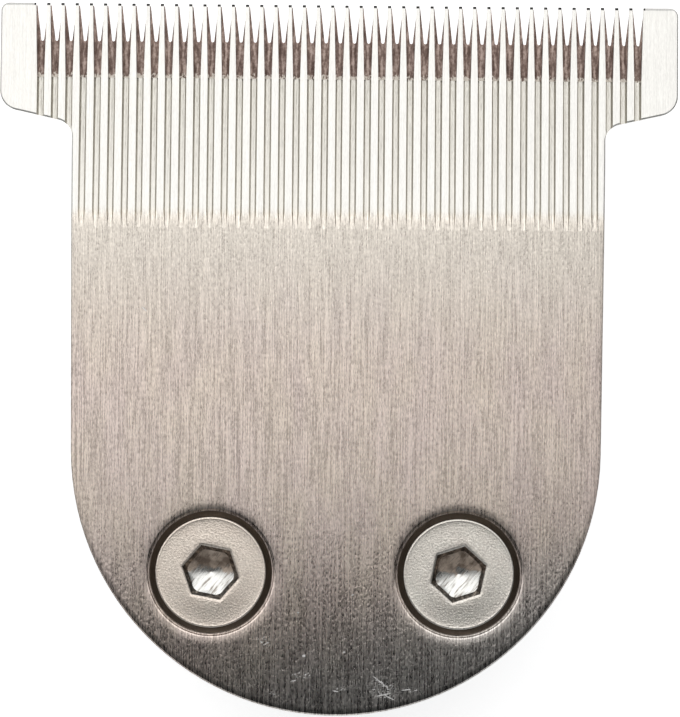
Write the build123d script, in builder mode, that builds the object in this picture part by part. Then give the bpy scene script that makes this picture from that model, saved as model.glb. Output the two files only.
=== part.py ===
from build123d import *
from math import acos, atan2, cos, hypot, pi, radians, sin, tan
import os

# Hair trimmer T-blade set, in millimetres.
# The set lies on its back. X runs along the row of teeth, +Y points to the tooth tips and +Z
# points out of the brushed outer face. The origin is on the seat's flat back, under the middle
# of the fixed blade. A size named "from_tips" or "from_tail" is measured along Y.

# Fixed blade, outline
blade_length = 35.45
head_width = 33.85
wing_length = 5.2
wing_slant = 12.4
wing_front_radius = 0.42
wing_rear_radius = 1.0
neck_width = 26.64
neck_radius = 0.9
tail_radius = 13.2

# Fixed blade, section
blade_thickness = 1.6
tip_thickness = 0.45
bevel_length = 10.56
bevel_blend_length = 0.9
blade_edge_break = 0.07
tip_edge_break = 0.12
hollow_from_tips = 6.1
hollow_length = 3.2
hollow_depth = 0.15

# Fixed blade, comb
tooth_pitch = 0.71
gap_count = 43
gap_tip_width = 0.55
flute_width = 0.36
flute_floor_width = 0.2
flute_floor_dish = 0.014
flute_flank_height = 0.14
slot_length = 3.7
flute_length = 11.23

# Screws and the holes that they pass through
screw_spacing = 12.36
screw_from_tail = 7.09
screw_radius = 1.5
screw_length = 6.0
screw_point_chamfer = 0.3
head_radius = 2.75
head_height = 1.15
head_edge_break = 0.12
socket_size = 2.5
socket_depth = 0.55
socket_edge_break = 0.06
socket_cone_radius = 1.13
socket_cone_depth = 0.65
left_socket_turn = 49.0
right_socket_turn = 18.0
counterbore_radius = 3.06
counterbore_depth = 1.12
counterbore_step_width = 0.06
counterbore_chamfer_width = 0.06
counterbore_chamfer_depth = 0.12
counterbore_lip_width = 0.06
counterbore_lip_depth = 0.02
screw_hole_radius = 1.8

# Threaded inserts
insert_radius = 2.1
insert_length = 4.5

# Moving blade
cutter_width = 30.9
cutter_setback = 0.1
cutter_head_length = 4.6
cutter_body_width = 18.0
cutter_length = 14.7
cutter_thickness = 1.0
cutter_tip_thickness = 0.35
cutter_bevel_length = 4.0
cutter_corner_radius = 0.8
cutter_gap_length = 1.78
cutter_gap_root_radius = 0.08
cutter_gap_tip_width = 0.55
cutter_hollow_depth = 0.15
cutter_rear_rail = 1.9
cutter_rest_shift = 0.04

# Drive yoke
yoke_width = 16.0
yoke_from_tips = 7.2
yoke_length = 9.4
yoke_thickness = 1.6
yoke_corner_radius = 0.8
peg_radius = 1.1
peg_spacing = 12.0
peg_from_tips = 10.8
peg_recess = 0.25
fork_height = 3.4
fork_wall = 1.2
fork_corner_radius = 1.0
drive_slot_width = 3.2
drive_slot_length = 5.4
drive_slot_depth = 3.0
spring_step_length = 1.4
spring_step_depth = 0.2

# Tension spring
wire_radius = 0.3
coil_radius = 1.55
coil_turns = 2
coil_spacing = 0.66
coil_inner_x = 8.0
inner_leg_length = 4.0
outer_leg_length = 2.2
spring_bend_radius = 0.9

# Blade seat
seat_height = 8.4
seat_inset = 0.6
seat_from_tips = 5.8
seat_wall = 2.0
seat_deck = 2.0
seat_corner_radius = 1.0
seat_edge_break = 0.4
front_bar_drop = 0.4
boss_wall = 1.3
spring_pin_radius = 1.05
core_window_margin = 0.3
leg_rest_size = 1.0
tongue_slot_width = 6.0
tongue_slot_height = 2.0
tongue_slot_floor = 1.2
snap_notch_length = 4.0
snap_notch_height = 1.4
snap_notch_depth = 0.8
snap_notch_floor = 2.2
snap_notch_from_tips = 12.1

# Fits between the pieces
sliding_gap = 0.03
guide_clearance = 0.1
peg_clearance = 0.05
spring_clearance = 0.08
thread_clearance = 0.05
insert_clearance = 0.02

# Room that a cutting shape reaches past the faces that it cuts
cut_margin = 1.0

# Flats that stand for a full circle in the finest sections
small_round_sides = 8
wire_sides = 6

# Places that follow from the sizes above
tip_y = blade_length / 2
tail_y = tip_y - blade_length
tail_center_y = tail_y + tail_radius
wing_x = head_width / 2
wing_rear_y = tip_y - wing_length
neck_x = neck_width / 2
neck_y = wing_rear_y - (wing_x - neck_x) * tan(radians(wing_slant))
inner_z = seat_height
outer_z = inner_z + blade_thickness
bevel_y = tip_y - bevel_length
screw_x = screw_spacing / 2
screw_y = tail_y + screw_from_tail
head_floor_z = outer_z - counterbore_depth

cutter_tip_y = tip_y - cutter_setback
cutter_top_z = inner_z - sliding_gap
cutter_bottom_z = cutter_top_z - cutter_thickness
peg_y = tip_y - peg_from_tips

yoke_front_y = tip_y - yoke_from_tips
yoke_rear_y = yoke_front_y - yoke_length
yoke_bottom_z = cutter_bottom_z - yoke_thickness
fork_bottom_z = yoke_bottom_z - fork_height
fork_length = drive_slot_length + 2 * fork_wall
fork_y = yoke_front_y - fork_length / 2
spring_step_y = yoke_rear_y + spring_step_length

bar_y = spring_step_y - spring_clearance - wire_radius
bar_z = yoke_bottom_z + spring_step_depth - spring_clearance - wire_radius
coil_y = bar_y - inner_leg_length
coil_z = bar_z - coil_radius
coil_width = coil_turns * coil_spacing
coil_outer_x = coil_inner_x + coil_width

seat_front_y = tip_y - seat_from_tips
seat_side_x = neck_x - seat_inset
seat_tail_radius = tail_radius - seat_inset
cavity_x = seat_tail_radius - seat_wall
deck_z = seat_height - seat_deck
window_front_y = yoke_front_y + guide_clearance
window_rear_y = yoke_rear_y - guide_clearance
insert_bottom_z = deck_z - insert_length


def tail_tangent(x, y, radius):
    """Where a line from (x, y) touches the round tail on its right side."""
    from_center = hypot(x, y - tail_center_y)
    angle = atan2(y - tail_center_y, x) - acos(radius / from_center)
    return (radius * cos(angle), tail_center_y + radius * sin(angle))


def both_corners(sketch, x, y):
    """The corners of a sketch at (x, y) and (-x, y)."""
    corners = sketch.vertices()
    return [corners.sort_by_distance((x, y, 0))[0], corners.sort_by_distance((-x, y, 0))[0]]


os.makedirs("parts", exist_ok=True)

# Fixed blade outline: a T with a slightly tapered body and a round tail
with BuildSketch() as blade_outline:
    with BuildLine():
        Polyline((0, tip_y), (wing_x, tip_y), (wing_x, wing_rear_y), (neck_x, neck_y))
        blade_side = Line((neck_x, neck_y), tail_tangent(neck_x, neck_y, tail_radius))
        TangentArc(blade_side @ 1, (0, tail_y), tangent=blade_side % 1)
        mirror(about=Plane.YZ)
    make_face()
    fillet(both_corners(blade_outline, wing_x, tip_y), wing_front_radius)
    fillet(both_corners(blade_outline, wing_x, wing_rear_y), wing_rear_radius)
    fillet(both_corners(blade_outline, neck_x, neck_y), neck_radius)

# One gap of the comb: a tapered slot through the tooth row, and the flute that falls to it from
# the outer face, with a slightly dished floor between sloped flanks
flute_fall = atan2(blade_thickness, flute_length - slot_length)
flute_plane = Plane(
    origin=(0, tip_y - flute_length, outer_z),
    x_dir=(-1, 0, 0),
    z_dir=(0, cos(flute_fall), -sin(flute_fall)),
)
gap_mouth_width = gap_tip_width + (gap_tip_width - flute_width) / slot_length * cut_margin
with BuildPart() as comb_gap:
    with BuildSketch(Plane.XY.offset(inner_z - cut_margin)):
        with BuildLine():
            Polyline(
                (flute_width / 2, tip_y - slot_length),
                (gap_mouth_width / 2, tip_y + cut_margin),
                (-gap_mouth_width / 2, tip_y + cut_margin),
                (-flute_width / 2, tip_y - slot_length),
                close=True,
            )
        make_face()
    extrude(amount=blade_thickness + 2 * cut_margin)
    with BuildSketch(flute_plane):
        with BuildLine():
            Polyline(
                (0, 0),
                (flute_floor_width / 2, flute_floor_dish),
                (flute_width / 2, flute_flank_height),
                (flute_width / 2, blade_thickness),
                (0, blade_thickness),
            )
            mirror(about=Plane.YZ)
        make_face()
    extrude(amount=hypot(blade_thickness, flute_length - slot_length))

# Fixed blade: bevelled plate, comb, hollow-ground inner face and counterbored screw holes
with BuildPart() as fixed_blade:
    with BuildSketch(Plane.XY.offset(inner_z)):
        add(blade_outline.sketch)
    extrude(amount=blade_thickness)
    # Side view of what the bevel takes off, with a narrow band that blends it into the flat
    bevel_slope = (blade_thickness - tip_thickness) / bevel_length
    blend_reach = bevel_blend_length / 2
    with BuildSketch(Plane.YZ):
        with BuildLine():
            Polyline(
                (bevel_y - blend_reach, outer_z),
                (bevel_y + blend_reach, outer_z - bevel_slope * blend_reach),
                (tip_y + cut_margin, outer_z - bevel_slope * (bevel_length + cut_margin)),
                (tip_y + cut_margin, outer_z + cut_margin),
                (bevel_y - blend_reach, outer_z + cut_margin),
                close=True,
            )
        make_face()
    extrude(amount=head_width, both=True, mode=Mode.SUBTRACT)
    bevel_point = (0, bevel_y, outer_z)
    blend_seams = fixed_blade.edges().filter_by(Axis.X).sort_by_distance(bevel_point)[:2]
    outer_faces = fixed_blade.faces().filter_by(lambda face: face.normal_at().Z > cos(pi / 4))
    chamfer(outer_faces.edges() - blend_seams, blade_edge_break)
    # Blunt break along the front, which ends every tooth
    break_z = outer_z - bevel_slope * (bevel_length - tip_edge_break)
    with BuildSketch(Plane.YZ):
        with BuildLine():
            Polyline(
                (tip_y - tip_edge_break, break_z),
                (tip_y + cut_margin, break_z - tip_edge_break - cut_margin),
                (tip_y + cut_margin, break_z + cut_margin),
                (tip_y - tip_edge_break, break_z + cut_margin),
                close=True,
            )
        make_face()
    extrude(amount=head_width, both=True, mode=Mode.SUBTRACT)
    with BuildSketch(Plane.YZ):
        with BuildLine():
            hollow_front_y = tip_y - hollow_from_tips
            hollow_mouth = Line((hollow_front_y, inner_z), (hollow_front_y - hollow_length, inner_z))
            SagittaArc(hollow_mouth @ 1, hollow_mouth @ 0, hollow_depth)
        make_face()
    extrude(amount=head_width, both=True, mode=Mode.SUBTRACT)
    with GridLocations(tooth_pitch, tooth_pitch, gap_count, 1):
        add(comb_gap.part, mode=Mode.SUBTRACT)
    with Locations((-screw_x, screw_y, outer_z), (screw_x, screw_y, outer_z)):
        CounterBoreHole(screw_hole_radius, counterbore_radius, counterbore_depth)
        # The mouth of the counterbore rolls over in a shallow lip and a steep chamfer, down to a
        # narrow step
        step_radius = counterbore_radius + counterbore_step_width
        chamfer_radius = step_radius + counterbore_chamfer_width
        lip_radius = chamfer_radius + counterbore_lip_width
        for foot, mouth, depth in (
            (step_radius, chamfer_radius, counterbore_chamfer_depth),
            (chamfer_radius, lip_radius, counterbore_lip_depth),
        ):
            mouth_align = (Align.CENTER, Align.CENTER, Align.MAX)
            Cone(foot, mouth, depth, align=mouth_align, mode=Mode.SUBTRACT)
fixed_blade.part.label = "fixed_blade"
export_step(fixed_blade.part, "parts/fixed_blade.step")

# One gap of the cutter: straight flanks that open to the tips from a round root
gap_root_y = cutter_tip_y - cutter_gap_length + cutter_gap_root_radius
gap_flank_length = cutter_tip_y - gap_root_y
gap_opening = cutter_gap_tip_width - 2 * cutter_gap_root_radius
cutter_mouth_width = cutter_gap_tip_width + gap_opening / gap_flank_length * cut_margin
with BuildPart() as cutter_gap:
    with BuildSketch(Plane.XY.offset(cutter_bottom_z - cut_margin)):
        with BuildLine():
            Polyline(
                (cutter_gap_root_radius, gap_root_y),
                (cutter_mouth_width / 2, cutter_tip_y + cut_margin),
                (-cutter_mouth_width / 2, cutter_tip_y + cut_margin),
                (-cutter_gap_root_radius, gap_root_y),
                close=True,
            )
        make_face()
        with Locations((0, gap_root_y)):
            RegularPolygon(cutter_gap_root_radius, small_round_sides)
    extrude(amount=cutter_thickness + 2 * cut_margin)

# Moving blade: a full-width comb on a narrower body that the yoke carries
with BuildPart() as moving_blade:
    with BuildSketch(Plane((cutter_rest_shift, cutter_tip_y, cutter_bottom_z))) as cutter_outline:
        Rectangle(cutter_width, cutter_head_length, align=(Align.CENTER, Align.MAX))
        Rectangle(cutter_body_width, cutter_length, align=(Align.CENTER, Align.MAX))
        fillet(both_corners(cutter_outline, cutter_width / 2, -cutter_head_length), cutter_corner_radius)
        fillet(both_corners(cutter_outline, cutter_body_width / 2, -cutter_length), cutter_corner_radius)
    extrude(amount=cutter_thickness)
    cutter_bevel_y = cutter_tip_y - cutter_bevel_length
    cutter_slope = (cutter_thickness - cutter_tip_thickness) / cutter_bevel_length
    cutter_rise = cutter_slope * (cutter_bevel_length + cut_margin)
    with BuildSketch(Plane.YZ):
        with BuildLine():
            Polyline(
                (cutter_bevel_y, cutter_bottom_z),
                (cutter_tip_y + cut_margin, cutter_bottom_z + cutter_rise),
                (cutter_tip_y + cut_margin, cutter_bottom_z - cut_margin),
                (cutter_bevel_y, cutter_bottom_z - cut_margin),
                close=True,
            )
        make_face()
    extrude(amount=cutter_width, both=True, mode=Mode.SUBTRACT)
    with BuildSketch(Plane.YZ):
        with BuildLine():
            relief_front_y = cutter_tip_y - cutter_head_length
            relief_rear_y = cutter_tip_y - cutter_length + cutter_rear_rail
            relief_mouth = Line((relief_front_y, cutter_top_z), (relief_rear_y, cutter_top_z))
            SagittaArc(relief_mouth @ 0, relief_mouth @ 1, cutter_hollow_depth)
        make_face()
    extrude(amount=cutter_width, both=True, mode=Mode.SUBTRACT)
    with Locations((cutter_rest_shift, 0)):
        with GridLocations(tooth_pitch, tooth_pitch, gap_count, 1):
            add(cutter_gap.part, mode=Mode.SUBTRACT)
    with Locations((cutter_rest_shift, peg_y, cutter_top_z)):
        with GridLocations(peg_spacing, peg_spacing, 2, 1):
            Hole(peg_radius + peg_clearance)
moving_blade.part.label = "moving_blade"
export_step(moving_blade.part, "parts/moving_blade.step")

# Drive yoke: carries the cutter on two pegs and takes the trimmer's eccentric pin in its fork
with BuildPart() as drive_yoke:
    with BuildSketch(Plane((cutter_rest_shift, yoke_front_y, yoke_bottom_z))) as yoke_outline:
        Rectangle(yoke_width, yoke_length, align=(Align.CENTER, Align.MAX))
        fillet(yoke_outline.vertices(), yoke_corner_radius)
    extrude(amount=yoke_thickness)
    with BuildSketch(Plane((cutter_rest_shift, peg_y, cutter_bottom_z))):
        with GridLocations(peg_spacing, peg_spacing, 2, 1):
            Circle(peg_radius)
    extrude(amount=cutter_thickness - peg_recess)
    with BuildSketch(Plane((cutter_rest_shift, fork_y, fork_bottom_z))):
        RectangleRounded(drive_slot_width + 2 * fork_wall, fork_length, fork_corner_radius)
    extrude(amount=fork_height)
    with BuildSketch(Plane((cutter_rest_shift, fork_y, fork_bottom_z))):
        SlotOverall(drive_slot_length, drive_slot_width, rotation=90)
    extrude(amount=drive_slot_depth, mode=Mode.SUBTRACT)
    # Step under the rear edge, where the spring's cross bar bears
    with BuildSketch(Plane((cutter_rest_shift, spring_step_y, yoke_bottom_z))):
        step_cut_length = spring_step_length + cut_margin
        Rectangle(yoke_width + cut_margin, step_cut_length, align=(Align.CENTER, Align.MAX))
    extrude(amount=spring_step_depth, mode=Mode.SUBTRACT)
drive_yoke.part.label = "drive_yoke"
export_step(drive_yoke.part, "parts/drive_yoke.step")

# Tension spring: one wire with a coil at each side, joined by a cross bar under the yoke.
# The legs leave the coils along the helix's own slope, so the wire has no kink.
leg_lean = coil_spacing / (2 * pi * coil_radius)
leg_end = (coil_outer_x + outer_leg_length * leg_lean, coil_y - outer_leg_length)
bar_corner = (coil_inner_x - inner_leg_length * leg_lean, bar_y)
coil_plane = Plane((coil_outer_x, coil_y, coil_z), x_dir=(0, 0, 1), z_dir=(-1, 0, 0))
spring_coil = coil_plane * Helix(coil_spacing, coil_width, coil_radius)
with BuildPart() as tension_spring:
    with BuildLine(Plane.XY.offset(bar_z)) as spring_legs:
        Line(leg_end, (coil_outer_x, coil_y))
        FilletPolyline((coil_inner_x, coil_y), bar_corner, (0, bar_y), radius=spring_bend_radius)
    with BuildSketch(Plane((*leg_end, bar_z), z_dir=(-leg_lean, 1, 0))):
        RegularPolygon(wire_radius, wire_sides)
    sweep(path=Wire(spring_legs.edges() + spring_coil.edges()))
    mirror(about=Plane.YZ)
tension_spring.part.label = "tension_spring"
export_step(tension_spring.part, "parts/tension_spring.step")

# Blade seat: an open-backed moulding with a deck under the blade's tail, a window for the yoke,
# bosses for the inserts and pins for the spring coils
with BuildPart() as blade_seat:
    with BuildSketch() as seat_outline:
        with BuildLine():
            Line((0, seat_front_y), (seat_side_x, seat_front_y))
            touch_point = tail_tangent(seat_side_x, seat_front_y, seat_tail_radius)
            seat_side = Line((seat_side_x, seat_front_y), touch_point)
            TangentArc(seat_side @ 1, (0, tail_center_y - seat_tail_radius), tangent=seat_side % 1)
            mirror(about=Plane.YZ)
        make_face()
        fillet(both_corners(seat_outline, seat_side_x, seat_front_y), seat_corner_radius)
    extrude(amount=seat_height)
    chamfer(blade_seat.edges().group_by(Axis.Z)[0], seat_edge_break)
    with BuildSketch():
        add(seat_outline.sketch)
        offset(amount=-seat_wall, kind=Kind.INTERSECTION)
    extrude(amount=deck_z, mode=Mode.SUBTRACT)
    # Window through the deck, which guides the yoke front and rear
    with BuildSketch(Plane((0, window_front_y, 0))):
        window_length = window_front_y - window_rear_y
        Rectangle(2 * cavity_x, window_length, align=(Align.CENTER, Align.MAX))
    extrude(amount=seat_height, mode=Mode.SUBTRACT)
    # The front bar stays below the cutter
    with BuildSketch(Plane((0, window_front_y, cutter_bottom_z - front_bar_drop))):
        front_bar_width = seat_front_y - window_front_y + cut_margin
        Rectangle(2 * cavity_x, front_bar_width, align=(Align.CENTER, Align.MIN))
    extrude(amount=seat_height, mode=Mode.SUBTRACT)
    # Insert bosses under the deck, tied into the tail wall
    with BuildSketch(Plane((0, screw_y, insert_bottom_z))):
        with GridLocations(screw_spacing, screw_spacing, 2, 1):
            Circle(insert_radius + boss_wall)
    extrude(amount=insert_length)
    with BuildSketch(Plane((0, screw_y, insert_bottom_z))):
        with GridLocations(screw_spacing, screw_spacing, 2, 1):
            Circle(insert_radius + insert_clearance)
    extrude(amount=insert_length, mode=Mode.SUBTRACT)
    with BuildSketch(Plane((0, screw_y, deck_z))):
        with GridLocations(screw_spacing, screw_spacing, 2, 1):
            Circle(screw_hole_radius)
    extrude(amount=seat_deck, mode=Mode.SUBTRACT)
    for side in (-1, 1):
        # Spring pin, moulded through a core window in the deck
        pin_end_x = coil_inner_x - wire_radius
        with BuildSketch(Plane((side * pin_end_x, coil_y, coil_z), z_dir=(side, 0, 0))):
            Circle(spring_pin_radius)
        extrude(amount=cavity_x + seat_wall / 2 - pin_end_x)
        with BuildSketch(Plane((side * (pin_end_x + cavity_x) / 2, coil_y, deck_z))):
            core_length = 2 * (coil_radius + wire_radius + core_window_margin)
            Rectangle(cavity_x - pin_end_x, core_length)
        extrude(amount=seat_deck, mode=Mode.SUBTRACT)
        # Rest under the deck for the end of the spring's outer leg
        rest_height = deck_z - bar_z - wire_radius - spring_clearance
        with BuildSketch(Plane((side * leg_end[0], leg_end[1] + leg_rest_size / 2, deck_z - rest_height))):
            Rectangle(leg_rest_size, leg_rest_size)
        extrude(amount=rest_height)
        # Notch in the side wall for the trimmer's spring catch
        notch_x = side * (seat_tail_radius - snap_notch_depth)
        notch_y = tip_y - snap_notch_from_tips
        notch_plane = Plane((notch_x, notch_y, snap_notch_floor), x_dir=(0, 1, 0), z_dir=(side, 0, 0))
        with BuildSketch(notch_plane):
            notch_align = (Align.CENTER, Align.MIN if side > 0 else Align.MAX)
            Rectangle(snap_notch_length, snap_notch_height, align=notch_align)
        extrude(amount=snap_notch_depth + cut_margin, mode=Mode.SUBTRACT)
    # Slot in the tail wall for the trimmer's tongue
    with BuildSketch(Plane((0, tail_center_y - seat_tail_radius, tongue_slot_floor))):
        tongue_slot_cut = 2 * (seat_wall + cut_margin)
        Rectangle(tongue_slot_width, tongue_slot_cut)
    extrude(amount=tongue_slot_height, mode=Mode.SUBTRACT)
blade_seat.part.label = "blade_seat"
export_step(blade_seat.part, "parts/blade_seat.step")

# Screws and the inserts that they run into, one of each at either side
for name, side, socket_turn in (("left", -1, left_socket_turn), ("right", 1, right_socket_turn)):
    axis_x = side * screw_x
    head_top_z = head_floor_z + head_height
    with BuildPart() as screw:
        with BuildSketch(Plane((axis_x, screw_y, head_floor_z))):
            Circle(head_radius)
        extrude(amount=head_height)
        chamfer(screw.edges().group_by(Axis.Z)[-1], head_edge_break)
        with BuildSketch(Plane((axis_x, screw_y, head_floor_z - screw_length))):
            Circle(screw_radius)
        extrude(amount=screw_length)
        chamfer(screw.edges().group_by(Axis.Z)[0], screw_point_chamfer)
        with BuildSketch(Plane((axis_x, screw_y, head_top_z - socket_depth))):
            RegularPolygon(socket_size / 2, 6, major_radius=False, rotation=socket_turn)
        extrude(amount=socket_depth, mode=Mode.SUBTRACT)
        socket_rim = screw.edges().filter_by(GeomType.LINE).group_by(Axis.Z)[-1]
        chamfer(socket_rim, socket_edge_break)
        with Locations((axis_x, screw_y, head_top_z - socket_depth)):
            cone_align = (Align.CENTER, Align.CENTER, Align.MAX)
            Cone(0, socket_cone_radius, socket_cone_depth, align=cone_align, mode=Mode.SUBTRACT)
    screw.part.label = f"screw_{name}"
    export_step(screw.part, f"parts/screw_{name}.step")

    with BuildPart() as insert:
        with BuildSketch(Plane((axis_x, screw_y, insert_bottom_z))):
            Circle(insert_radius)
            Circle(screw_radius + thread_clearance, mode=Mode.SUBTRACT)
        extrude(amount=insert_length)
    insert.part.label = f"insert_{name}"
    export_step(insert.part, f"parts/insert_{name}.step")
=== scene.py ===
from math import cos, pi, radians, sin, tan
import bpy
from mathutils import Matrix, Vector


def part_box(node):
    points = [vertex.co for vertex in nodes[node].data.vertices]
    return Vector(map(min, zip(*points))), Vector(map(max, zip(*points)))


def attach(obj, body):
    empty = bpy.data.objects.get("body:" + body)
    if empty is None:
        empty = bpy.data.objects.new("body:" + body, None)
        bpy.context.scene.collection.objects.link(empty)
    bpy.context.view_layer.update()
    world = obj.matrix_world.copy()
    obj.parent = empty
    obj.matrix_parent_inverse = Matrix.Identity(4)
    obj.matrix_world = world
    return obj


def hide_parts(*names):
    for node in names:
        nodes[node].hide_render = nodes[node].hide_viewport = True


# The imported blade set, in metres. X runs along the teeth, +Y to the tips, +Z out of the brushed face.
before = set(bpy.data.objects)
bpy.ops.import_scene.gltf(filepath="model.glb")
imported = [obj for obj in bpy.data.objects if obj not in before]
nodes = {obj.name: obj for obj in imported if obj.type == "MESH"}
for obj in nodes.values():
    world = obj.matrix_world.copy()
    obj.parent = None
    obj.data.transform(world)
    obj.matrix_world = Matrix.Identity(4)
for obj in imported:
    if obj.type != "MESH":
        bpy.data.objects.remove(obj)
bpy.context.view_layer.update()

# The sizes below are those that the frame does not hold. All lengths are in metres.
MM = 0.001

# Camera: straight above the brushed face, on the place that the middle of the picture shows
IMAGE_HEIGHT = 717
PIXEL_SIZE = 0.0498 * MM
CAMERA_DISTANCE = 300 * MM
CAMERA_AIM_X = 0.169 * MM
CAMERA_AIM_Y = 0.073 * MM
CAMERA_TURN = radians(0.53)
SENSOR_WIDTH = 36.0

# Fixed blade
BEVEL_FROM_TIPS = 10.56 * MM
BEVEL_ANGLE = radians(6.215)
TOOTH_PITCH = 0.71 * MM
COMB_HALF_WIDTH = 15.26 * MM
SLOT_LENGTH = 3.7 * MM
TAIL_RADIUS = 13.2 * MM
COUNTERBORE_RADIUS = 3.06 * MM
COUNTERBORE_MOUTH_RADIUS = 3.24 * MM
FLUTE_EDGE = (0.205 * MM, 0.17 * MM)
FLUTE_FLOOR_EDGE = (0.14 * MM, 0.06 * MM)
HOLE_ROLL_WIDTH = 0.5 * MM
HOLE_ROLL_TILT = 0.065
SIDE_ROLL_WIDTH = 0.4 * MM
SIDE_ROLL_TILT = 0.09
BEVEL_BLEND = 0.75 * MM

# Screws
THREAD_PITCH = 0.5 * MM
THREAD_DEPTH = 0.3 * MM
THREAD_CREST_SHARE = 0.12
THREAD_FLANK_SHARE = 0.66
SCREW_RING_POINTS = 72
SHANK_RADIUS = 1.5 * MM
HEAD_HEIGHT = 1.15 * MM
HEAD_SWELL = 0.012 * MM
HEAD_DISH = 0.013 * MM
HEAD_RIM_WIDTH = 0.08 * MM
SOCKET_APOTHEM = 1.25 * MM
SOCKET_DEPTH = 0.55 * MM
SOCKET_RIM_WIDTH = 0.13 * MM
SOCKET_FLOOR_APOTHEM = 1.07 * MM
SOCKET_FLOOR_RADIUS = 1.17 * MM
SOCKET_CONE_DEPTH = 0.28 * MM
RIM_ANGLE = radians(36)
SOCKET_TURNS = {"left": radians(49.0), "right": radians(18.0)}

# Which of a screw's materials each part of it has
HEAD_BAND = 0
WALL_BAND = 1
CONE_BAND = 2
THREAD_BAND = 3

# Tension spring
WIRE_RADIUS = 0.3 * MM
COIL_RADIUS = 1.55 * MM
COIL_TURNS = 2
COIL_SPACING = 0.66 * MM
COIL_INNER_X = 8.0 * MM
COIL_Y = -1.855 * MM
COIL_Z = 4.04 * MM
INNER_LEG = 4.0 * MM
OUTER_LEG = 2.2 * MM
BAR_BEND = 0.9 * MM
WIRE_RING_POINTS = 20

blade_low, blade_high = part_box("fixed_blade")
outer_z = blade_high.z
tip_y = blade_high.y
tail_y = blade_low.y


def box_center(node):
    """The middle of a CAD node's box."""
    low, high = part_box(node)
    return (low + high) / 2


screw_center = box_center("screw_right")


# Shader building
class NodeTree:
    """A node tree, built up node by node."""

    def __init__(self, tree):
        self.tree = tree

    def add(self, kind, **settings):
        node = self.tree.nodes.new(kind)
        for key, value in settings.items():
            setattr(node, key, value)
        return node

    def feed(self, socket, source):
        """Link a socket to another, or set it to a plain value."""
        if isinstance(source, bpy.types.NodeSocket):
            self.tree.links.new(source, socket)
        else:
            socket.default_value = source

    def math(self, operation, first, second=0.0):
        node = self.add("ShaderNodeMath", operation=operation)
        self.feed(node.inputs[0], first)
        self.feed(node.inputs[1], second)
        return node.outputs[0]

    def total(self, *parts):
        """The sum of values, each times its weight."""
        result = None
        for value, weight in parts:
            share = self.math("MULTIPLY", value, weight)
            result = share if result is None else self.math("ADD", result, share)
        return result

    def vector(self, operation, first, second=(0.0, 0.0, 0.0)):
        node = self.add("ShaderNodeVectorMath", operation=operation)
        self.feed(node.inputs[0], first)
        self.feed(node.inputs[1], second)
        return node.outputs["Value" if operation == "LENGTH" else "Vector"]

    def scale(self, vector, factor):
        node = self.add("ShaderNodeVectorMath", operation="SCALE")
        self.feed(node.inputs[0], vector)
        self.feed(node.inputs["Scale"], factor)
        return node.outputs["Vector"]

    def combine(self, x, y, z):
        node = self.add("ShaderNodeCombineXYZ")
        for socket, source in zip(node.inputs, (x, y, z)):
            self.feed(socket, source)
        return node.outputs[0]

    def axis(self, vector, name):
        node = self.add("ShaderNodeSeparateXYZ")
        self.feed(node.inputs[0], vector)
        return node.outputs[name]

    def span(self, value, low, high, to_low=0.0, to_high=1.0):
        """A smooth step from to_low, at low, to to_high, at high."""
        node = self.add("ShaderNodeMapRange", interpolation_type="SMOOTHSTEP")
        self.feed(node.inputs["Value"], value)
        node.inputs["From Min"].default_value = low
        node.inputs["From Max"].default_value = high
        node.inputs["To Min"].default_value = to_low
        node.inputs["To Max"].default_value = to_high
        return node.outputs[0]

    def ramp(self, value, stops):
        """A colour for each place along a value from 0 to 1."""
        node = self.add("ShaderNodeValToRGB")
        self.feed(node.inputs[0], value)
        elements = node.color_ramp.elements
        while len(elements) < len(stops):
            elements.new(0.5)
        for element, (position, color) in zip(elements, stops):
            element.position = position
            element.color = (*color, 1.0)
        return node.outputs[0]

    def mix(self, share, first, second, blend="MIX"):
        """The first colour, changed by the second as far as the share says."""
        node = self.add("ShaderNodeMix", data_type="RGBA", blend_type=blend)
        self.feed(node.inputs[0], share)
        self.feed(node.inputs[6], first)
        self.feed(node.inputs[7], second)
        return node.outputs[2]


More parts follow.
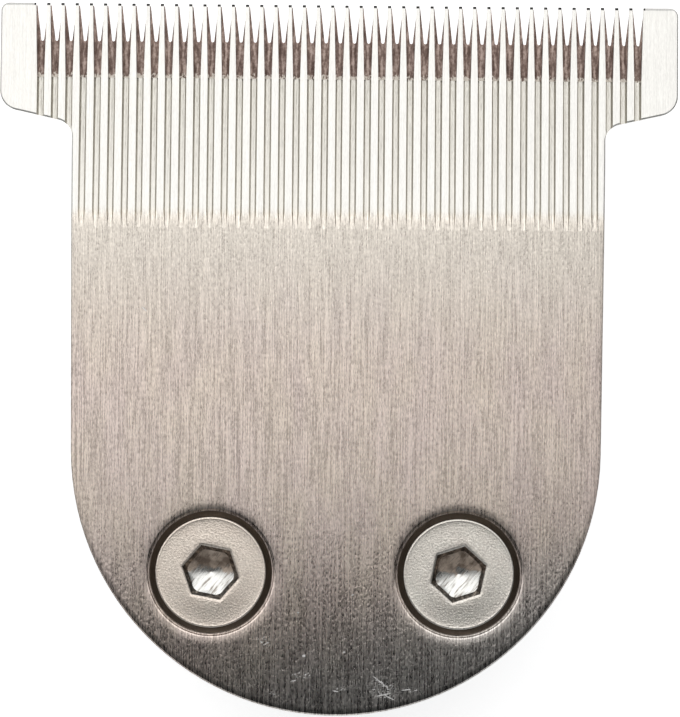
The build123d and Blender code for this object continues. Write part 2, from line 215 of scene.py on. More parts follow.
class Shader(NodeTree):
    """A material around one Principled shader."""

    def __init__(self, name, **constants):
        """Constants are named after the shader's inputs, with _ for a space."""
        self.material = bpy.data.materials.new(name)
        self.material.use_nodes = True
        super().__init__(self.material.node_tree)
        self.surface = self.tree.nodes["Principled BSDF"]
        self.place = self.add("ShaderNodeTexCoord").outputs["Object"]
        for socket, value in constants.items():
            self.surface.inputs[socket.replace("_", " ")].default_value = value

    def drive(self, name, source):
        self.feed(self.surface.inputs[name], source)

    def noise(self, scale, detail=2.0, roughness=0.5, shift=(0.0, 0.0, 0.0), turn=0.0):
        """Noise with so many grains per metre along each axis, turned about Z."""
        place = self.place
        if turn:
            turning = self.add("ShaderNodeMapping")
            self.feed(turning.inputs["Vector"], place)
            turning.inputs["Rotation"].default_value = (0.0, 0.0, -turn)
            place = turning.outputs[0]
        mapping = self.add("ShaderNodeMapping")
        self.feed(mapping.inputs["Vector"], place)
        mapping.inputs["Scale"].default_value = scale
        mapping.inputs["Location"].default_value = shift
        node = self.add("ShaderNodeTexNoise")
        self.feed(node.inputs["Vector"], mapping.outputs[0])
        node.inputs["Scale"].default_value = 1.0
        node.inputs["Detail"].default_value = detail
        node.inputs["Roughness"].default_value = roughness
        return node.outputs["Fac"]

    def spot(self, x, y, length, width, turn):
        """1 inside an ellipse on the outer face, 0 outside it."""
        mapping = self.add("ShaderNodeMapping", vector_type="TEXTURE")
        self.feed(mapping.inputs["Vector"], self.place)
        mapping.inputs["Location"].default_value = (x, y, outer_z)
        mapping.inputs["Rotation"].default_value = (0.0, 0.0, turn)
        mapping.inputs["Scale"].default_value = (length / 2, width / 2, length)
        return self.span(self.vector("LENGTH", mapping.outputs[0]), 1.2, 0.5)

    def any_spot(self, spots):
        """1 inside any ellipse of a list."""
        highest = self.spot(*spots[0])
        for spot in spots[1:]:
            highest = self.math("MAXIMUM", highest, self.spot(*spot))
        return highest

    def bump(self, height, distance, normal=None, strength=1.0):
        node = self.add("ShaderNodeBump")
        self.feed(node.inputs["Height"], height)
        self.feed(node.inputs["Strength"], strength)
        node.inputs["Distance"].default_value = distance
        if normal is not None:
            self.feed(node.inputs["Normal"], normal)
        self.drive("Normal", node.outputs[0])

    def brush_along(self, direction):
        """Spread the highlights across a brushing direction."""
        normal = self.add("ShaderNodeNewGeometry").outputs["Normal"]
        self.drive("Tangent", self.vector("CROSS_PRODUCT", direction, normal))

    def brush_round(self, axis):
        """Turn the highlights' main direction round an axis through the piece's middle."""
        tangent = self.add("ShaderNodeTangent", direction_type="RADIAL", axis=axis)
        self.drive("Tangent", tangent.outputs[0])


def rgba(red, green, blue):
    """A colour as the sockets take it."""
    return (red, green, blue, 1.0)


# Colours of the brushed plate
DARK_LINE = (0.46, 0.455, 0.45)
PALE_LINE = (0.97, 0.965, 0.955)
GREYER_FACE = (0.975, 0.84, 0.78)
WARMER_FACE = (1.005, 0.88, 0.78)
FACE_NEAR_COMB = rgba(0.99, 0.925, 0.84)
TAIL_RIGHT_GREY = rgba(0.98, 0.94, 0.905)
GROUND_BEVEL = rgba(1.01, 1.005, 0.975)
FLUTE_TINT = (1.0, 0.985, 0.955)
# Painted shade for the insides of the counterbores
COUNTERBORE_SHADE_PAINT = rgba(0.3, 0.24, 0.19)
PALE_WEAR = rgba(0.92, 0.91, 0.89)

# Scratches and specks of the brushed face: middle, length, width and turn of each
FACE_MARKS = (
    (-1.5 * MM, -14.75 * MM, 0.2 * MM, 0.16 * MM, 0.0),
    (0.5 * MM, -14.55 * MM, 0.12 * MM, 0.1 * MM, 0.0),
    (0.9 * MM, -11.7 * MM, 0.14 * MM, 0.07 * MM, radians(20)),
    (-1.8 * MM, -12.6 * MM, 0.1 * MM, 0.1 * MM, 0.0),
    (2.3 * MM, -16.0 * MM, 1.1 * MM, 0.06 * MM, radians(-38)),
    (2.5 * MM, -16.65 * MM, 0.9 * MM, 0.07 * MM, radians(12)),
    (2.8 * MM, -16.8 * MM, 0.6 * MM, 0.06 * MM, radians(-25)),
    (3.6 * MM, -16.4 * MM, 0.5 * MM, 0.06 * MM, radians(8)),
    (-2.0 * MM, -16.0 * MM, 0.3 * MM, 0.07 * MM, radians(10)),
    (0.1 * MM, -16.5 * MM, 0.35 * MM, 0.07 * MM, radians(-8)),
    (-9.6 * MM, 2.45 * MM, 0.35 * MM, 0.06 * MM, radians(-42)),
)

# Scuffed patches of the tail, given in the same way
TAIL_SCUFFS = (
    (0.42 * MM, -16.34 * MM, 1.1 * MM, 0.3 * MM, 0.0),
    (2.45 * MM, -16.35 * MM, 1.6 * MM, 1.2 * MM, radians(-20)),
    (3.93 * MM, -16.39 * MM, 0.6 * MM, 0.3 * MM, 0.0),
    (-3.5 * MM, -14.0 * MM, 0.9 * MM, 0.6 * MM, radians(-35)),
    (-1.6 * MM, -15.72 * MM, 1.3 * MM, 0.35 * MM, 0.0),
    (-3.06 * MM, -16.6 * MM, 0.7 * MM, 0.4 * MM, 0.0),
)


def make_blade_steel():
    """Stainless plate, brushed towards the teeth, with a ground comb and counterbores painted dark as
    shade.
    """
    steel = Shader("blade_steel_brushed")
    # Not quite along Y, so that faces that look along Y have a direction too
    steel.brush_along((0.0, 1.0, 0.02))
    x = steel.axis(steel.place, "X")
    y = steel.axis(steel.place, "Y")
    bevel_y = tip_y - BEVEL_FROM_TIPS
    flat_normal = steel.add("ShaderNodeNewGeometry").outputs["Normal"]
    upward = steel.axis(flat_normal, "Z")
    on_face = steel.span(upward, 0.984, 0.986)

    # Brushed grain, which the ground comb hardly shows
    fine = steel.noise((19000, 4200, 4200), detail=1.0)
    lines = steel.noise((17500, 900, 900), detail=2.0, shift=(3.1, 1.7, 0.4))
    long_lines = steel.noise((16000, 150, 150), detail=1.0, shift=(0.7, 5.2, 2.4))
    pits = steel.noise((13000, 6000, 6000), detail=1.0, shift=(1.3, 0.6, 7.7))
    cloud = steel.noise((600, 220, 220), detail=2.0)
    grain = steel.total((fine, 0.34), (lines, 0.37), (long_lines, 0.29))
    contrast = steel.math(
        "MULTIPLY",
        steel.span(y, bevel_y - 0.1 * MM, bevel_y + 0.4 * MM, 1.0, 0.25),
        steel.span(y, 4 * MM, -4 * MM, 1.1, 1.85),
    )
    from_middle = steel.math("MULTIPLY", steel.math("SUBTRACT", grain, 0.5), contrast)
    grain = steel.math("ADD", from_middle, 0.5)
    color = steel.ramp(grain, [(0.37, DARK_LINE), (0.63, PALE_LINE)])

    # Warm in the middle, paler towards the comb, greyer on the tail and almost white on the bevel
    tint = steel.ramp(cloud, [(0.35, GREYER_FACE), (0.65, WARMER_FACE)])
    near_comb = steel.span(y, -1.5 * MM, bevel_y)
    tint = steel.mix(near_comb, tint, FACE_NEAR_COMB)
    # Greyer towards the tail's right
    tail_right_grey = steel.span(steel.total((y, 1.0), (x, -0.35)), -11.5 * MM, -18 * MM)
    tint = steel.mix(tail_right_grey, tint, TAIL_RIGHT_GREY)
    ground = steel.span(y, bevel_y - 0.3 * MM, bevel_y + 0.5 * MM)
    tint = steel.mix(ground, tint, GROUND_BEVEL)
    color = steel.mix(1.0, color, tint, "MULTIPLY")

    # The flutes are a little yellow and painted a little darker, as shade, and their floors are painted
    # lighter towards the slots, a painted light against the shade of the deep grooves
    from_flute = steel.math("PINGPONG", x, TOOTH_PITCH / 2)
    in_comb = steel.math(
        "MULTIPLY",
        steel.span(y, bevel_y - 0.2 * MM, bevel_y + 0.1 * MM),
        steel.span(steel.math("ABSOLUTE", x), COMB_HALF_WIDTH + 0.02 * MM, COMB_HALF_WIDTH),
    )
    in_flute = steel.math("MULTIPLY", in_comb, steel.span(from_flute, *FLUTE_EDGE))
    slot_end_y = tip_y - SLOT_LENGTH
    floor_painted_light = steel.math(
        "MULTIPLY",
        steel.span(from_flute, *FLUTE_FLOOR_EDGE),
        steel.span(y, bevel_y + 2 * MM, slot_end_y, 0.0, 0.14),
    )
    flute_painted_light_and_shade = steel.math("ADD", floor_painted_light, 0.9)
    color = steel.mix(in_flute, color, steel.scale(FLUTE_TINT, flute_painted_light_and_shade), "MULTIPLY")

    # Painted shade: broken edges are painted a little darker by how far they slope, those of the teeth
    # much more, and the tips darkest
    off_flute = steel.math("SUBTRACT", 1.0, in_flute)
    sloping = steel.math("MULTIPLY", steel.span(upward, 0.93, 0.8), steel.span(upward, 0.2, 0.4))
    broken_edge = steel.math("MULTIPLY", sloping, off_flute)
    painted_tooth_darkness = steel.total(
        (steel.span(y, slot_end_y - 0.4 * MM, slot_end_y), 0.5),
        (steel.span(y, tip_y - 0.16 * MM, tip_y - 0.12 * MM), 0.2),
    )
    painted_edge_darkness = steel.math("ADD", steel.math("MULTIPLY", in_comb, painted_tooth_darkness), 0.25)
    painted_edge_shade = steel.math("SUBTRACT", 1.0, steel.math("MULTIPLY", broken_edge, painted_edge_darkness))
    color = steel.mix(1.0, color, painted_edge_shade, "MULTIPLY")

    # Counterbores: painted shade inside them, a dark brown, and a face that rolls over towards them
    across = steel.math("SUBTRACT", steel.math("ABSOLUTE", x), screw_center.x)
    across = steel.math("MULTIPLY", across, steel.math("SIGN", x))
    along = steel.math("SUBTRACT", y, screw_center.y)
    from_screw = steel.combine(across, along, 0.0)
    radius = steel.vector("LENGTH", from_screw)
    counterbore_painted_shade = steel.span(radius, COUNTERBORE_RADIUS + 0.03 * MM, COUNTERBORE_RADIUS - 0.02 * MM)
    color = steel.mix(counterbore_painted_shade, color, COUNTERBORE_SHADE_PAINT)
    roll_start = COUNTERBORE_MOUTH_RADIUS + HOLE_ROLL_WIDTH
    roll_end = COUNTERBORE_MOUTH_RADIUS - 0.15 * MM
    hole_tilt = steel.span(radius, roll_start, roll_end, 0.0, -HOLE_ROLL_TILT)
    hole_roll = steel.scale(steel.vector("NORMALIZE", from_screw), hole_tilt)

    # The outline rolls over a little too
    behind_tail = steel.math("MINIMUM", steel.math("SUBTRACT", y, tail_y + TAIL_RADIUS), 0.0)
    from_tail = steel.combine(x, behind_tail, 0.0)
    inside = steel.math("SUBTRACT", TAIL_RADIUS, steel.vector("LENGTH", from_tail))
    side_tilt = steel.span(inside, SIDE_ROLL_WIDTH, 0.0, 0.0, SIDE_ROLL_TILT)
    side_tilt = steel.math("MULTIPLY", side_tilt, steel.span(y, bevel_y, bevel_y - 2 * MM))
    side_roll = steel.scale(steel.vector("NORMALIZE", from_tail), side_tilt)

    # The bevel runs smoothly into the flat
    slope = steel.span(y, bevel_y - BEVEL_BLEND, bevel_y + BEVEL_BLEND, 0.0, BEVEL_ANGLE)
    smooth_normal = steel.combine(0.0, steel.math("SINE", slope), steel.math("COSINE", slope))
    smooth_normal = steel.vector("ADD", smooth_normal, steel.vector("ADD", hole_roll, side_roll))
    normal = steel.vector("NORMALIZE", steel.mix(on_face, flat_normal, smooth_normal))

    # Pale scratches, specks and scuffs
    scratched = steel.any_spot(FACE_MARKS)
    worn = steel.span(steel.noise((9000, 13000, 9000), detail=2.0, turn=radians(30)), 0.56, 0.64)
    scuffed = steel.math("MULTIPLY", steel.any_spot(TAIL_SCUFFS), worn)
    marks = steel.math("MAXIMUM", scratched, scuffed)

    steel.drive("Base Color", steel.mix(marks, color, PALE_WEAR))
    steel.drive("Metallic", steel.math("SUBTRACT", 1.0, steel.math("MULTIPLY", marks, 0.8)))
    steel.drive("Anisotropic", steel.math("MULTIPLY", off_flute, 0.95))
    rough = steel.span(grain, 0.34, 0.66, 0.26, 0.36)
    rough = steel.math("ADD", rough, steel.math("MULTIPLY", counterbore_painted_shade, 0.3))
    steel.drive("Roughness", steel.math("ADD", rough, steel.math("MULTIPLY", marks, 0.35)))

    # The grain is shallower where the face rolls over
    rolled = steel.total((hole_tilt, -14.0), (side_tilt, 10.0))
    calm = steel.math("SUBTRACT", 1.0, steel.math("MINIMUM", rolled, 0.8))
    steel.bump(steel.total((lines, 0.45), (fine, 0.5), (pits, 0.45)), 0.011 * MM, normal, calm)
    return steel.material


def make_cutter_steel():
    """Dark hardened cutter with a coarse lapped grain, a painted light streak along the middle of each
    gap between the fixed teeth, and burrs below the ends of the slots.
    """
    steel = Shader("cutter_steel_dark", Metallic=0.7)
    y = steel.axis(steel.place, "Y")
    from_flute = steel.math("PINGPONG", steel.axis(steel.place, "X"), TOOTH_PITCH / 2)
    streaks = steel.noise((8000, 1200, 1200), detail=2.0)
    grit = steel.noise((12000, 7000, 7000), detail=2.0, shift=(5.0, 2.0, 1.0))
    # Painted light: a lighter streak along the middle of each gap between the fixed teeth, where light
    # reaches the cutter; it goes into the grain below
    middle = steel.span(from_flute, 0.11 * MM, 0.0, 0.0, 0.09)
    grain = steel.total((streaks, 0.6), (grit, 0.4), (middle, 1.0))
    dark = (0.17, 0.11, 0.09)
    brown = (0.29, 0.205, 0.175)
    pale = (0.58, 0.455, 0.40)
    color = steel.ramp(grain, [(0.38, dark), (0.52, brown), (0.68, pale)])
    slot_end_y = tip_y - SLOT_LENGTH
    near_end = steel.span(y, slot_end_y + 0.32 * MM, slot_end_y, 0.0, 0.24)
    burr = steel.span(steel.math("ADD", grit, near_end), 0.58, 0.7)
    burr = steel.math("MULTIPLY", burr, steel.span(near_end, 0.0, 0.02))
    steel.drive("Base Color", steel.mix(burr, color, rgba(0.85, 0.78, 0.7)))
    steel.drive("Roughness", steel.span(grain, 0.35, 0.65, 0.55, 0.4))
    steel.bump(grain, 0.004 * MM)
    return steel.material


def make_screw_satin(name, pale, dull):
    """Satin-plated screw head, turned in fine rings, with a mottled grain."""
    satin = Shader(name, Metallic=1.0, Anisotropic=0.4)
    satin.brush_round("Z")
    grain = satin.noise((11000, 11000, 11000), detail=2.0)
    cloud = satin.noise((900, 900, 900), detail=2.0)
    color = satin.ramp(grain, [(0.32, dull), (0.68, pale)])
    tint = satin.ramp(cloud, [(0.3, (0.94, 0.92, 0.9)), (0.7, (1.0, 1.0, 0.98))])
    satin.drive("Base Color", satin.mix(1.0, color, tint, "MULTIPLY"))
    satin.drive("Roughness", satin.span(grain, 0.3, 0.7, 0.5, 0.38))
    satin.bump(grain, 0.014 * MM)
    return satin.material


def make_socket_wall():
    """Broached hexagon, dark brown with paler streaks."""
    wall = Shader("screw_socket_wall", Metallic=0.8)
    streaks = wall.noise((6000, 6000, 1500), detail=3.0)
    dark = (0.06, 0.048, 0.038)
    brown = (0.2, 0.165, 0.135)
    pale = (0.6, 0.5, 0.42)
    wall.drive("Base Color", wall.ramp(streaks, [(0.38, dark), (0.55, brown), (0.72, pale)]))
    wall.drive("Roughness", wall.span(streaks, 0.3, 0.7, 0.45, 0.3))
    wall.bump(streaks, 0.008 * MM)
    return wall.material


def make_socket_cone():
    """Drilled bottom of the socket: bright metal with slanting tool marks, browner, darker and less
    metallic on the tip side.
    """
    cone = Shader("screw_socket_cone")
    marks = cone.noise((9000, 1300, 1300), detail=2.0, turn=radians(-40))
    blots = cone.noise((2200, 2200, 2200), detail=2.0, shift=(2.0, 0.5, 0.0))
    groove = (0.3, 0.27, 0.24)
    metal = (0.68, 0.68, 0.655)
    bright_metal = (0.76, 0.76, 0.74)
    color = cone.ramp(marks, [(0.32, groove), (0.46, metal), (0.8, bright_metal)])
    # Browner, darker and less metallic on the tip side
    along = cone.math("SUBTRACT", cone.axis(cone.place, "Y"), screw_center.y)
    raggedness = cone.math("MULTIPLY", cone.math("SUBTRACT", blots, 0.5), 1.2 * MM)
    tip_side_brown = cone.span(cone.math("ADD", along, raggedness), 0.0, 0.3 * MM)
    tip_side_color = cone.ramp(blots, [(0.4, (0.24, 0.185, 0.145)), (0.62, (0.62, 0.51, 0.42))])
    cone.drive("Base Color", cone.mix(tip_side_brown, color, tip_side_color))
    cone.drive("Metallic", cone.math("SUBTRACT", 1.0, cone.math("MULTIPLY", tip_side_brown, 0.6)))
    cone.drive("Roughness", cone.span(marks, 0.3, 0.6, 0.4, 0.27))
    cone.bump(marks, 0.006 * MM)
    return cone.material


def make_thread_steel():
    """Zinc-plated thread."""
    steel = Shader("screw_thread", Metallic=1.0)
    grain = steel.noise((5000, 5000, 9000), detail=3.0)
    color = steel.ramp(grain, [(0.3, (0.45, 0.44, 0.42)), (0.7, (0.7, 0.69, 0.66))])
    steel.drive("Base Color", color)
    steel.drive("Roughness", steel.span(grain, 0.3, 0.7, 0.42, 0.3))
    steel.bump(grain, 0.004 * MM)
    return steel.material


def make_insert_brass():
    """Turned brass with a few stains."""
    brass = Shader("insert_brass_turned", Metallic=1.0)
    grain = brass.noise((2500, 2500, 14000), detail=2.0)
    stain = brass.noise((700, 700, 700), detail=3.0)
    color = brass.ramp(grain, [(0.3, (0.56, 0.38, 0.15)), (0.7, (0.78, 0.58, 0.28))])
    tint = brass.ramp(stain, [(0.35, (0.8, 0.74, 0.66)), (0.6, (1.0, 1.0, 1.0))])
    brass.drive("Base Color", brass.mix(1.0, color, tint, "MULTIPLY"))
    brass.drive("Roughness", brass.span(grain, 0.3, 0.7, 0.4, 0.28))
    brass.bump(grain, 0.004 * MM)
    return brass.material


def make_spring_steel():
    """Bright drawn wire."""
    wire = Shader("spring_wire_drawn", Metallic=1.0)
    grain = wire.noise((6000, 6000, 6000), detail=3.0)
    color = wire.ramp(grain, [(0.3, (0.42, 0.42, 0.42)), (0.7, (0.66, 0.65, 0.63))])
    wire.drive("Base Color", color)
    wire.drive("Roughness", wire.span(grain, 0.3, 0.7, 0.36, 0.24))
    wire.bump(grain, 0.003 * MM)
    return wire.material


def make_plastic(name, dark, pale, rough_low, rough_high):
    """Moulded plastic with a spark-eroded grain and faint flow marks."""
    plastic = Shader(name)
    grain = plastic.noise((5200, 5200, 5200), detail=2.0)
    flow = plastic.noise((320, 160, 320), detail=3.0)
    plastic.drive("Base Color", plastic.ramp(flow, [(0.3, dark), (0.7, pale)]))
    plastic.drive("Roughness", plastic.span(grain, 0.3, 0.7, rough_low, rough_high))
    plastic.bump(grain, 0.012 * MM)
    return plastic.material


# Meshes
def make_piece(name, loft, materials, body, node):
    """A piece with a loft's mesh, which stands for a CAD node. Each face's band is its material."""
    mesh = bpy.data.meshes.new(name)
    mesh.from_pydata(loft.vertices, [], loft.faces)
    for material in materials:
        mesh.materials.append(material)
    mesh.polygons.foreach_set("material_index", loft.bands)
    mesh.polygons.foreach_set("use_smooth", [True] * len(mesh.polygons))
    mesh.set_sharp_from_angle(angle=radians(32))
    mesh.update()
    piece = bpy.data.objects.new(name, mesh)
    bpy.context.scene.collection.objects.link(piece)
    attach(piece, body)
    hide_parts(node)


class Loft:
    """Quads between rings that all have the same number of points."""

    def __init__(self, count):
        self.count = count
        self.vertices = []
        self.faces = []
        self.bands = []
        self.rings = 0

    def add_ring(self, points, band=0):
        """Join a ring to the one before it."""
        self.vertices.extend(points)
        if self.rings > 0:
            self.join(self.rings - 1, self.rings, band)
        self.rings += 1

    def join(self, lower, upper, band):
        for step in range(self.count):
            following = (step + 1) % self.count
            self.faces.append((
                lower * self.count + step,
                lower * self.count + following,
                upper * self.count + following,
                upper * self.count + step,
            ))
            self.bands.append(band)

    def cap(self, ring, center, band, facing_out):
        """Close a ring with a fan to one point."""
        self.vertices.append(center)
        middle = len(self.vertices) - 1
        for step in range(self.count):
            following = (step + 1) % self.count
            edge = (ring * self.count + step, ring * self.count + following)
            self.faces.append((*edge, middle) if facing_out else (*edge[::-1], middle))
            self.bands.append(band)


def thread_sink(height, angle):
    """How far below the crest a right-hand thread lies, from 0 to 1."""
    phase = (height / THREAD_PITCH - angle / (2 * pi)) % 1.0
    from_crest = abs(phase - 0.5) * 2
    return min(max((from_crest - THREAD_CREST_SHARE) / THREAD_FLANK_SHARE, 0.0), 1.0)


def make_screw(side, materials):
    """A screw head that swells round its hexagon socket, on a threaded shank."""
    node = f"screw_{side}"
    low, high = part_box(node)
    center = (low + high) / 2
    head_radius = (high.x - low.x) / 2
    floor_z = high.z - HEAD_HEIGHT
    turn = SOCKET_TURNS[side]
    angles = [turn + 2 * pi * step / SCREW_RING_POINTS for step in range(SCREW_RING_POINTS)]
    loft = Loft(SCREW_RING_POINTS)

    def ring(radius_at, z, band):
        points = []
        for angle in angles:
            radius = radius_at(angle)
            points.append((center.x + radius * cos(angle), center.y + radius * sin(angle), z))
        loft.add_ring(points, band)

    def circle(radius, z, band=HEAD_BAND):
        ring(lambda angle: radius, z, band)

    def hexagon_radius(apothem, angle):
        return apothem / cos((angle - turn) % (pi / 3) - pi / 6)

    def hexagon(apothem, z):
        ring(lambda angle: hexagon_radius(apothem, angle), z, HEAD_BAND)

    def socket_floor(angle):
        return min(hexagon_radius(SOCKET_FLOOR_APOTHEM, angle), SOCKET_FLOOR_RADIUS)

    def thread(z, share):
        def radius_at(angle):
            return SHANK_RADIUS - THREAD_DEPTH * max(thread_sink(z, angle), 1 - share)

        ring(radius_at, z, THREAD_BAND)

    # Shank, from the point up
    point_length = 0.3 * MM
    point_radius = SHANK_RADIUS - point_length - 0.05 * MM
    rings_per_turn = 10
    thread_steps = int((floor_z - low.z) / THREAD_PITCH * rings_per_turn)
    circle(point_radius, low.z, THREAD_BAND)
    for step in range(thread_steps + 1):
        z = low.z + (floor_z - low.z) * step / thread_steps
        share = min((z - low.z) / point_length, (floor_z - z) / THREAD_PITCH, 1.0)
        thread(z, max(share, 0.0))
    # Underside and side of the head
    under_break = 0.04 * MM
    circle(head_radius - under_break, floor_z)
    circle(head_radius, floor_z + under_break)
    # Rolled-over rim, then the face, which dips inside the rim and swells up to the socket
    roll_radius = HEAD_RIM_WIDTH / sin(RIM_ANGLE)
    roll_steps = 5
    rim_radius = head_radius - HEAD_RIM_WIDTH
    rim_z = high.z - HEAD_SWELL
    side_below_rim = 0.03 * MM
    circle(head_radius, rim_z - roll_radius * (1 - cos(RIM_ANGLE)) - side_below_rim)
    for step in range(roll_steps, -1, -1):
        angle = RIM_ANGLE * step / roll_steps
        circle(rim_radius + roll_radius * sin(angle), rim_z - roll_radius * (1 - cos(angle)))
    face_steps = 10
    swell_radius = 1.6 * MM
    for step in range(1, face_steps + 1):
        share = (step / face_steps) ** 2
        dish = HEAD_DISH * sin(pi * step / face_steps)
        z = rim_z + HEAD_SWELL * share ** 2 - dish
        circle(rim_radius + (swell_radius - rim_radius) * share, z)
    # Socket, with a rolled-over rim, and its drilled bottom
    roll_radius = SOCKET_RIM_WIDTH / sin(RIM_ANGLE)
    for step in range(roll_steps + 1):
        angle = RIM_ANGLE * step / roll_steps
        apothem = SOCKET_APOTHEM + SOCKET_RIM_WIDTH - roll_radius * sin(angle)
        hexagon(apothem, high.z - roll_radius * (1 - cos(angle)))
    socket_floor_z = high.z - SOCKET_DEPTH
    ring(socket_floor, socket_floor_z, WALL_BAND)
    for share in (0.12, 0.3, 0.5, 0.7, 0.85, 0.97):
        radius = SOCKET_FLOOR_RADIUS * (1 - share)
        circle(radius, socket_floor_z - SOCKET_CONE_DEPTH * share, CONE_BAND)
    cone_point = (center.x, center.y, socket_floor_z - SOCKET_CONE_DEPTH)
    loft.cap(loft.rings - 1, cone_point, CONE_BAND, True)
    loft.cap(0, (center.x, center.y, low.z), THREAD_BAND, False)
    make_piece(f"socket_{node}", loft, materials, "fixed", node)


def make_insert(side, material):
    """Brass insert: two bands of knurling, a groove between them and a thread inside."""
    node = f"insert_{side}"
    low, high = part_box(node)
    center = (low + high) / 2
    outer_radius = (high.x - low.x) / 2
    bore_radius = 1.55 * MM
    knurls = 24
    knurl_depth = 0.16 * MM
    knurl_lead = 0.9 * MM
    groove_depth = 0.3 * MM
    groove_half_width = 0.25 * MM
    groove_flank = 0.15 * MM
    lead_in = 0.25 * MM
    ring_points = 96
    ring_steps = 90
    loft = Loft(ring_points)
    heights = [low.z + (high.z - low.z) * step / ring_steps for step in range(ring_steps + 1)]

    def outer(angle, z):
        share = (z - low.z) / (high.z - low.z)
        slant = 1 if share < 0.5 else -1
        wave = abs((knurls * angle / (2 * pi) + slant * z / knurl_lead) % 1.0 - 0.5) * 2
        from_groove = abs(share - 0.5) * (high.z - low.z)
        groove = min(max(1 - (from_groove - groove_half_width) / groove_flank, 0.0), 1.0)
        end = min(z - low.z, high.z - z)
        chamfer = max(1 - end / lead_in, 0.0)
        sink = max(knurl_depth * wave, groove_depth * groove, lead_in * chamfer)
        return outer_radius - sink

    def inner(angle, z):
        return bore_radius - THREAD_DEPTH * thread_sink(z, angle)

    def ring(radius_at, z):
        points = []
        for step in range(ring_points):
            angle = 2 * pi * step / ring_points
            radius = radius_at(angle, z)
            points.append((center.x + radius * cos(angle), center.y + radius * sin(angle), z))
        loft.add_ring(points)

    for z in heights:
        ring(outer, z)
    for z in reversed(heights):
        ring(inner, z)
    loft.join(loft.rings - 1, 0, 0)
    make_piece(f"threaded_{node}", loft, [material], "fixed", node)


def spring_path():
    """Middle line of the spring wire, from the right outer leg's end to the left one's."""
    lean = COIL_SPACING / (2 * pi * COIL_RADIUS)
    bar_z = COIL_Z + COIL_RADIUS
    outer_x = COIL_INNER_X + COIL_TURNS * COIL_SPACING
    points = []
    leg_steps = 8
    for step in range(leg_steps):
        back = OUTER_LEG * (1 - step / leg_steps)
        points.append(Vector((outer_x + back * lean, COIL_Y - back, bar_z)))
    steps_per_turn = 40
    coil_steps = steps_per_turn * COIL_TURNS
    for step in range(coil_steps + 1):
        angle = 2 * pi * COIL_TURNS * step / coil_steps
        points.append(Vector((
            outer_x - COIL_SPACING * angle / (2 * pi),
            COIL_Y + COIL_RADIUS * sin(angle),
            COIL_Z + COIL_RADIUS * cos(angle),
        )))
    bar_y = COIL_Y + INNER_LEG
    corner = Vector((COIL_INNER_X - INNER_LEG * lean, bar_y, bar_z))
    start = Vector((COIL_INNER_X, COIL_Y, bar_z))
    leg = (corner - start).normalized()
    bar = Vector((-1, 0, 0))
    turn = leg.angle(bar)
    cut = BAR_BEND * tan(turn / 2)
    first = corner - leg * cut
    for step in range(1, leg_steps):
        points.append(start.lerp(first, step / leg_steps))
    bend_center = first + (bar - leg * leg.dot(bar)).normalized() * BAR_BEND
    inward = first - bend_center
    bend_steps = 12
    for step in range(bend_steps + 1):
        angle = turn * step / bend_steps
        points.append(bend_center + inward * cos(angle) + leg * (BAR_BEND * sin(angle)))
    points.append(Vector((0, bar_y, bar_z)))
    mirrored = [Vector((-point.x, point.y, point.z)) for point in reversed(points[:-1])]
    return points + mirrored


def make_spring(material):
    """Round wire along the spring's path, with its ends cut square and broken."""
    path = spring_path()
    loft = Loft(WIRE_RING_POINTS)
    normal = Vector((0, 0, 1))
    last = len(path) - 1

    def ring(point, direction, radius):
        side = direction.cross(normal).normalized()
        up = side.cross(direction)
        points = []
        for step in range(WIRE_RING_POINTS):
            angle = 2 * pi * step / WIRE_RING_POINTS
            points.append(point + (side * cos(angle) - up * sin(angle)) * radius)
        loft.add_ring(points)

    end_break = 0.06 * MM
    for index, point in enumerate(path):
        direction = (path[min(index + 1, last)] - path[max(index - 1, 0)]).normalized()
        normal = (normal - direction * normal.dot(direction)).normalized()
        if index == 0:
            ring(point, direction, WIRE_RADIUS - end_break)
            ring(point + direction * end_break, direction, WIRE_RADIUS)
        elif index == last:
            ring(point - direction * end_break, direction, WIRE_RADIUS)
            ring(point, direction, WIRE_RADIUS - end_break)
        else:
            ring(point, direction, WIRE_RADIUS)
    loft.cap(0, path[0], 0, False)
    loft.cap(loft.rings - 1, path[last], 0, True)
    make_piece("spring_wire", loft, [material], "fixed", "tension_spring")


# Studio
def add_lamp(name, radiance, center, size_x, size_y, color, turn=0.0):
    """A flat lamp that faces down and is not seen itself."""
    lamp = bpy.data.lights.new(name, "AREA")
    lamp.shape = "RECTANGLE"
    lamp.size = size_x
    lamp.size_y = size_y
    # The energy that gives a flat lamp of this size the wanted radiance
    lamp.energy = radiance * 4 * size_x * size_y
    lamp.color = color
    holder = bpy.data.objects.new(name, lamp)
    holder.location = center
    holder.rotation_euler = (0, 0, turn)
    holder.visible_camera = False
    bpy.context.scene.collection.objects.link(holder)


def make_floor():
    """White floor that keeps a faint shadow, a hair below the seat."""
    size = 4.0
    z = -0.01 * MM
    corners = [(-size, -size, z), (size, -size, z), (size, size, z), (-size, size, z)]
    mesh = bpy.data.meshes.new("floor")
    mesh.from_pydata(corners, [], [(0, 1, 2, 3)])
    floor = bpy.data.objects.new("floor", mesh)
    bpy.context.scene.collection.objects.link(floor)
    white = Shader("floor_white", Roughness=0.9, Specular_IOR_Level=0.0)
    white.drive("Base Color", rgba(0.8, 0.8, 0.8))
    white.drive("Emission Color", rgba(1.0, 1.0, 1.0))
    ray = white.add("ShaderNodeLightPath").outputs
    seen = white.math("MAXIMUM", ray["Is Camera Ray"], ray["Is Glossy Ray"])
    seen = white.math("MAXIMUM", seen, ray["Is Transmission Ray"])
    white.drive("Emission Strength", white.math("MULTIPLY", seen, 0.8))
    mesh.materials.append(white.material)


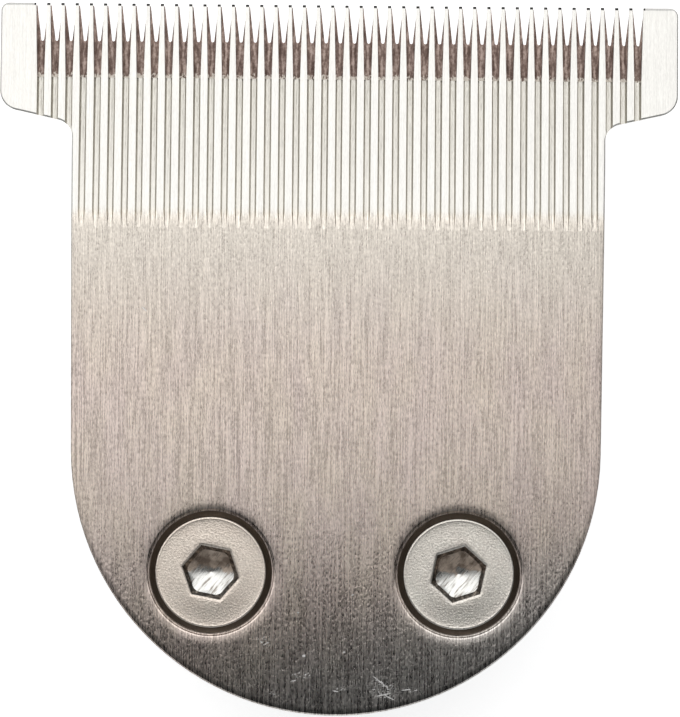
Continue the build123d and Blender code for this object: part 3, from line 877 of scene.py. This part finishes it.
def make_world():
    """Studio round the blade: bright towards the tips, low on the left and low behind the tail."""
    world = bpy.data.worlds.new("studio")
    bpy.context.scene.world = world
    world.use_nodes = True
    sky = NodeTree(world.node_tree)
    direction = sky.add("ShaderNodeTexCoord").outputs["Generated"]
    x = sky.axis(direction, "X")
    y = sky.axis(direction, "Y")
    z = sky.axis(direction, "Z")

    # Towards the tips, dimmer at the horizon and high up
    toward_tips = sky.span(y, 0.1, 0.9, 0.05, 0.78)
    low_dim = sky.span(z, 0.05, 0.3, 0.76, 1.0)
    high_dim = sky.span(z, 0.35, 0.6, 1.0, 0.35)
    strength = sky.math("MULTIPLY", toward_tips, sky.math("MULTIPLY", low_dim, high_dim))
    toward_left = sky.span(x, -0.88, -0.98, 0.0, 0.9)
    strength = sky.math("MAXIMUM", strength, toward_left)

    # Behind the tail, above what the broken edges of the plate reflect to the camera
    toward_tail = sky.span(y, -0.5, -0.8, 0.0, 0.6)
    above_edges = sky.span(z, 0.12, 0.3)
    strength = sky.math("MAXIMUM", strength, sky.math("MULTIPLY", toward_tail, above_edges))

    # White where the camera sees it
    camera_ray = sky.add("ShaderNodeLightPath").outputs["Is Camera Ray"]
    background = sky.tree.nodes["Background"]
    sky.feed(background.inputs["Strength"], sky.math("MAXIMUM", strength, camera_ray))
    background.inputs["Color"].default_value = rgba(0.96, 1.0, 1.02)


def make_camera():
    """The picture is taller than wide, so the sensor's width spans the picture's height."""
    camera = bpy.data.cameras.new("camera")
    camera.sensor_width = SENSOR_WIDTH
    camera.lens = CAMERA_DISTANCE * SENSOR_WIDTH / (IMAGE_HEIGHT * PIXEL_SIZE)
    camera.clip_start = 0.01
    camera.clip_end = 20.0
    holder = bpy.data.objects.new("camera", camera)
    holder.location = (CAMERA_AIM_X, CAMERA_AIM_Y, outer_z + CAMERA_DISTANCE)
    holder.rotation_euler = (0, 0, CAMERA_TURN)
    bpy.context.scene.collection.objects.link(holder)
    bpy.context.scene.camera = holder


def paint(node, material):
    """Give a CAD node its material."""
    nodes[node].material_slots[0].material = material


paint("fixed_blade", make_blade_steel())
paint("moving_blade", make_cutter_steel())
seat_black = make_plastic("seat_plastic_black", (0.016, 0.016, 0.017), (0.026, 0.026, 0.027), 0.5, 0.62)
paint("blade_seat", seat_black)
yoke_ivory = make_plastic("yoke_plastic_ivory", (0.66, 0.61, 0.5), (0.74, 0.69, 0.58), 0.4, 0.5)
paint("drive_yoke", yoke_ivory)
socket_wall = make_socket_wall()
socket_cone = make_socket_cone()
thread_steel = make_thread_steel()
left_satin = make_screw_satin("screw_satin_left", (0.98, 0.885, 0.8), (0.72, 0.65, 0.585))
right_satin = make_screw_satin("screw_satin_right", (0.95, 0.91, 0.85), (0.67, 0.64, 0.6))
brass = make_insert_brass()
for side, satin in (("left", left_satin), ("right", right_satin)):
    make_screw(side, [satin, socket_wall, socket_cone, thread_steel])
    make_insert(side, brass)
make_spring(make_spring_steel())

# The near lamp ends above the tail, which leaves the tail dark. The others light the bevel.
near_z = outer_z + 70 * MM
far_z = outer_z + 280 * MM
warm_white = (1.0, 0.985, 0.97)
white = (1.0, 1.0, 1.0)
add_lamp("lamp_near", 0.7, (-33 * MM, 67 * MM, near_z), 134 * MM, 164 * MM, warm_white, radians(4))
add_lamp("lamp_side", 0.5, (58 * MM, 62 * MM, near_z), 42 * MM, 96 * MM, white)
add_lamp("lamp_far", 0.54, (-35 * MM, 104.5 * MM, far_z), 530 * MM, 180 * MM, white)
make_floor()
make_world()
make_camera()
bpy.context.scene.view_settings.view_transform = "Standard"
